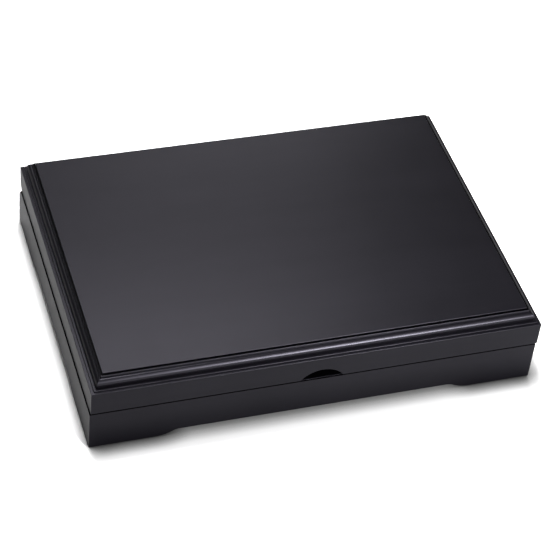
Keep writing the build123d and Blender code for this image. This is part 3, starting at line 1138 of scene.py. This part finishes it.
def makeCushion():
    low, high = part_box("lid_cushion")
    piece = meshObject("satin_cushion", mergedCopy("lid_cushion"))
    remesh = piece.modifiers.new("even", "REMESH")
    remesh.mode = "VOXEL"
    remesh.voxel_size = cushion["voxel"]
    settle(piece)
    inflate(piece, high.z)
    smooth = piece.modifiers.new("fine", "SUBSURF")
    smooth.levels = 1
    settle(piece)
    spill = cushion["spill"]
    for vert in piece.data.vertices:
        vert.co.x = min(max(vert.co.x, low.x - spill), high.x + spill)
        vert.co.y = min(max(vert.co.y, low.y - spill), high.y + spill)
        vert.co.z = min(max(vert.co.z, cushion["lowest"]), high.z)
    piece.data.polygons.foreach_set("use_smooth", [True] * len(piece.data.polygons))
    dress(piece, [blackSatin])
    seat(piece, "lid", "satin", "lid_cushion")


def inflate(piece, topZ):
    # the cover is glued along its upper edge and swells over the foam
    held = piece.vertex_groups.new(name="glued")
    for vert in piece.data.vertices:
        if vert.co.z > topZ - cushion["gluedEdge"]:
            held.add([vert.index], 1.0, "REPLACE")
    rest = [vert.co.copy() for vert in piece.data.vertices]
    cloth = piece.modifiers.new("cover", "CLOTH")
    settings = cloth.settings
    settings.quality = cushion["quality"]
    settings.mass = cushion["mass"]
    settings.tension_stiffness = settings.compression_stiffness = cushion["stretchStiffness"]
    settings.bending_stiffness = cushion["bendStiffness"]
    settings.use_pressure = True
    settings.uniform_pressure_force = cushion["pressure"]
    settings.vertex_group_mass = "glued"
    settings.effector_weights.gravity = 0.0
    cloth.collision_settings.use_collision = False
    for frameNumber in range(1, cushion["frames"] + 1):
        scene.frame_set(frameNumber)
    settle(piece)
    for vert, was in zip(piece.data.vertices, rest):
        move = vert.co - was
        if move.length > cushion["cap"]:
            vert.co = was + move.normalized() * cushion["cap"]
    scene.frame_set(1)


makeCushion()
print("cushion made")


# Floor, light and camera
floorLook = {
    "halfSize": 1.0,
    "bounced": 0.80,
    "mirrored": 0.80,
    "seen": 1.95,
    "shadowSamples": 32,
    # each shadow painted into the floor's colour: its reach, the way it leans, the openness at which it's
    # deepest and the light left there
    "shadows": (
        (10.5 * mm, (-0.35, 0.70, 0.62), 0.33, 0.09),
        (14.0 * mm, (-1.0, 0.0, 0.10), 0.78, 0.60),
    ),
}


def makeShade(tree, reach, way, shut, depth):
    # a shadow painted into the floor's colour from ambient occlusion: how open the floor is to one side, as
    # the light that it keeps
    lean = tree.nodes.new("ShaderNodeCombineXYZ")
    for socket, value in zip(lean.inputs, way):
        socket.default_value = value
    near = tree.nodes.new("ShaderNodeAmbientOcclusion")
    near.samples = floorLook["shadowSamples"]
    setShader(near, {"Distance": reach})
    tree.links.new(lean.outputs[0], near.inputs["Normal"])
    return ranged(tree, near.outputs["AO"], depth, 1.0, shut, 1.0)


def makeFloor():
    # one pale floor, lighter where it's seen, so that it shows white and keeps the case's shadow, deepened
    # by shadows painted into its colour
    half = floorLook["halfSize"]
    bm = bmesh.new()
    bm.faces.new([bm.verts.new((x, y, 0)) for x, y in boxOutline(-half, half, -half, half)])
    floor = meshObject("floor", bm)
    finish, tree, shader, _ = startFinish("paleFloor")
    setShader(shader, {"Roughness": 1.0, "Specular IOR Level": 0.0})
    path = tree.nodes.new("ShaderNodeLightPath")
    contact, beside = (makeShade(tree, *shadow) for shadow in floorLook["shadows"])
    shade = mathOf(tree, "MULTIPLY", contact, beside)
    mirrored = mathOf(tree, "MAXIMUM", path.outputs["Is Glossy Ray"], path.outputs["Is Transmission Ray"])
    shaded = mathOf(tree, "MAXIMUM", path.outputs["Is Camera Ray"], mirrored)
    bright = ranged(tree, path.outputs["Is Camera Ray"], floorLook["mirrored"], floorLook["seen"])
    pale = mixed(tree, shaded, floorLook["bounced"], mathOf(tree, "MULTIPLY", bright, shade))
    tree.links.new(pale, shader.inputs["Base Color"])
    dress(floor, [finish])
    floor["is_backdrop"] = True


makeFloor()

worldLook = {"lit": 0.02, "mirrored": 0.16, "seen": 1.0}


def makeWorld():
    # white where it's seen, paler where it's mirrored, and next to no light of its own
    world = bpy.data.worlds.new("studio")
    scene.world = world
    world.use_nodes = True
    tree = world.node_tree
    path = tree.nodes.new("ShaderNodeLightPath")
    mirrored = mathOf(tree, "MAXIMUM", path.outputs["Is Glossy Ray"], path.outputs["Is Transmission Ray"])
    unseen = ranged(tree, mirrored, worldLook["lit"], worldLook["mirrored"])
    seen = mathOf(tree, "MULTIPLY", path.outputs["Is Camera Ray"], worldLook["seen"])
    tree.links.new(mathOf(tree, "MAXIMUM", unseen, seen), tree.nodes["Background"].inputs["Strength"])
    tree.nodes["Background"].inputs["Color"].default_value = (1.0, 1.0, 1.0, 1.0)


makeWorld()


def wayTowards(azimuth, elevation):
    # from the case to a lamp or the camera, in degrees; azimuth runs from the front to the right
    turn, rise = math.radians(azimuth), math.radians(elevation)
    return Vector((math.cos(rise) * math.sin(turn), -math.cos(rise) * math.cos(turn), math.sin(rise)))


studio = {
    "aim": (0.0, 0.0, 0.04),
    "distance": 1.3,
    # each softbox's azimuth, elevation, width, height and power
    "boxes": {
        "topSoftbox": (-160.0, 76.0, 0.22, 0.22, 9.2),
        "rearSoftbox": (168.0, 54.0, 0.48, 0.22, 2.7),
        "lowRearSoftbox": (165.0, 30.0, 0.42, 0.22, 1.3),
        "rearLeftSoftbox": (-155.0, 30.0, 0.22, 0.22, 1.8),
        "backLeftSoftbox": (-140.0, 50.0, 0.50, 0.50, 0.6),
        "frontSoftbox": (19.0, 18.0, 0.16, 0.16, 8.6),
        "highFrontSoftbox": (18.5, 33.0, 0.16, 0.30, 5.2),
        "frontFill": (24.0, 55.0, 0.40, 0.30, 1.2),
    },
}


def makeSoftbox(name, azimuth, elevation, width, height, power):
    way = wayTowards(azimuth, elevation)
    light = bpy.data.lights.new(name, "AREA")
    light.shape = "RECTANGLE"
    light.size, light.size_y = width, height
    light.energy = power
    holder = bpy.data.objects.new(name, light)
    holder.location = Vector(studio["aim"]) + way * studio["distance"]
    holder.rotation_euler = (-way).to_track_quat("-Z", "Y").to_euler()
    scene.collection.objects.link(holder)


for name, values in studio["boxes"].items():
    makeSoftbox(name, *values)

view = {
    "azimuth": -21.587,
    "elevation": 43.622,
    "roll": 6.983,
    "distance": 1.39626,
    "focalPixels": 2005.52,
    "imagePixels": 560,
    "sensorWidth": 36.0,
    "clip": (0.05, 20.0),
    "target": (9.83 * mm, 4.89 * mm, 9.16 * mm),
}


def makeCamera():
    back, roll = wayTowards(view["azimuth"], view["elevation"]), math.radians(view["roll"])
    level = (-back).cross(Vector((0, 0, 1))).normalized()
    upright = level.cross(-back)
    right = math.cos(roll) * level + math.sin(roll) * upright
    up = math.cos(roll) * upright - math.sin(roll) * level
    data = bpy.data.cameras.new("camera")
    data.sensor_width = view["sensorWidth"]
    data.lens = data.sensor_width * view["focalPixels"] / view["imagePixels"]
    data.clip_start, data.clip_end = view["clip"]
    camera = bpy.data.objects.new("camera", data)
    scene.collection.objects.link(camera)
    turn = Matrix((right, up, back)).transposed().to_4x4()
    camera.matrix_world = Matrix.Translation(Vector(view["target"]) + back * view["distance"]) @ turn
    scene.camera = camera


makeCamera()
scene.view_settings.view_transform = "Standard"
print("floor, light and camera made")

low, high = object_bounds()
